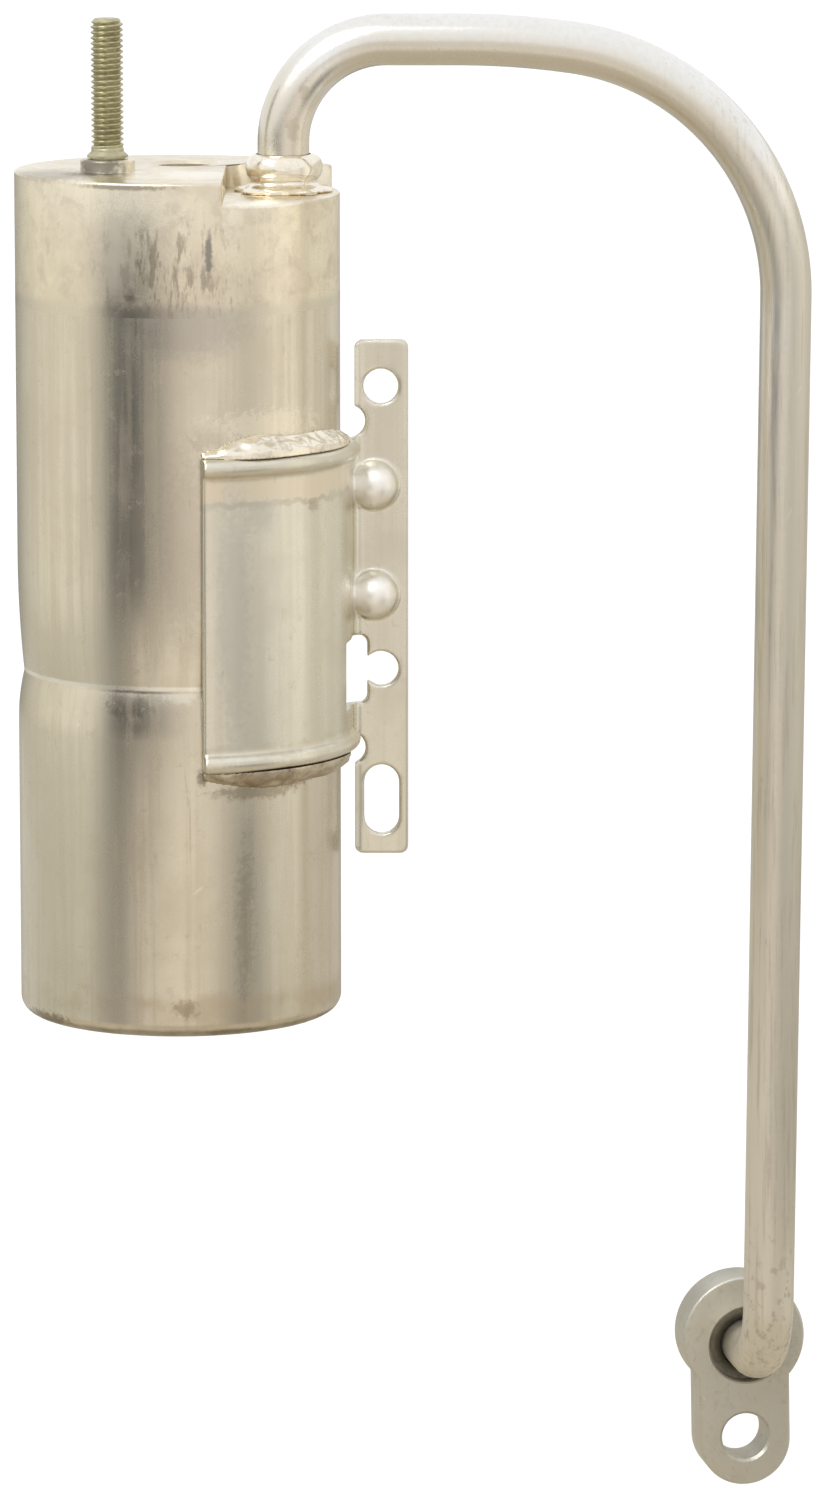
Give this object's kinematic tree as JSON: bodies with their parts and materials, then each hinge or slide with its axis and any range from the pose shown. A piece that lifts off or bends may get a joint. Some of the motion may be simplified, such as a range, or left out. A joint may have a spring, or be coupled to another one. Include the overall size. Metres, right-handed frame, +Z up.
{
  "type": "automotive receiver drier",
  "caption": "Sealed aluminium can with a machined header, inlet port and clamp stud, side bracket, desiccant pack inside, and a long outlet tube down to a block fitting",
  "frame": {"origin": "on the back face of the bracket's mounting strip, midway between its two round holes", "axes": "+Z up along the can's axis, +Y out of the strip's back face, +X from the can towards the outlet tube's drop"},
  "size_m": [0.1486, 0.0653, 0.2833],
  "materials": {
    "drawn_aluminium": "drawn, satin, with faint vertical streaks",
    "machined_aluminium": "machined, matt and lightly stained",
    "tube_aluminium": "drawn tube, satin, lightly weathered",
    "bracket_aluminium": "rolled sheet, satin",
    "weld_aluminium": "weld metal, bright and uneven",
    "zinc_steel": "zinc plated, slightly yellow",
    "seal_rubber": "green moulded rubber",
    "felt": "white needled felt",
    "desiccant": "packed beige beads",
    "strainer_plastic": "natural moulded plastic"
  },
  "bodies": {
    "root": {"can": "drawn_aluminium", "header": "machined_aluminium", "header_weld": "weld_aluminium", "mounting_stud": "zinc_steel", "outlet_tube": "tube_aluminium", "outlet_weld": "weld_aluminium", "block_fitting": "machined_aluminium", "block_braze": "weld_aluminium", "pilot_o_ring": "seal_rubber", "bracket": "bracket_aluminium", "bracket_weld_top": "weld_aluminium", "bracket_weld_bottom": "weld_aluminium", "pickup_tube": "tube_aluminium", "pickup_strainer": "strainer_plastic", "lower_plate": "zinc_steel", "lower_filter_pad": "felt", "desiccant_bed": "desiccant", "upper_filter_pad": "felt", "upper_plate": "zinc_steel", "pack_spring": "zinc_steel"}
  },
  "joints": []
}
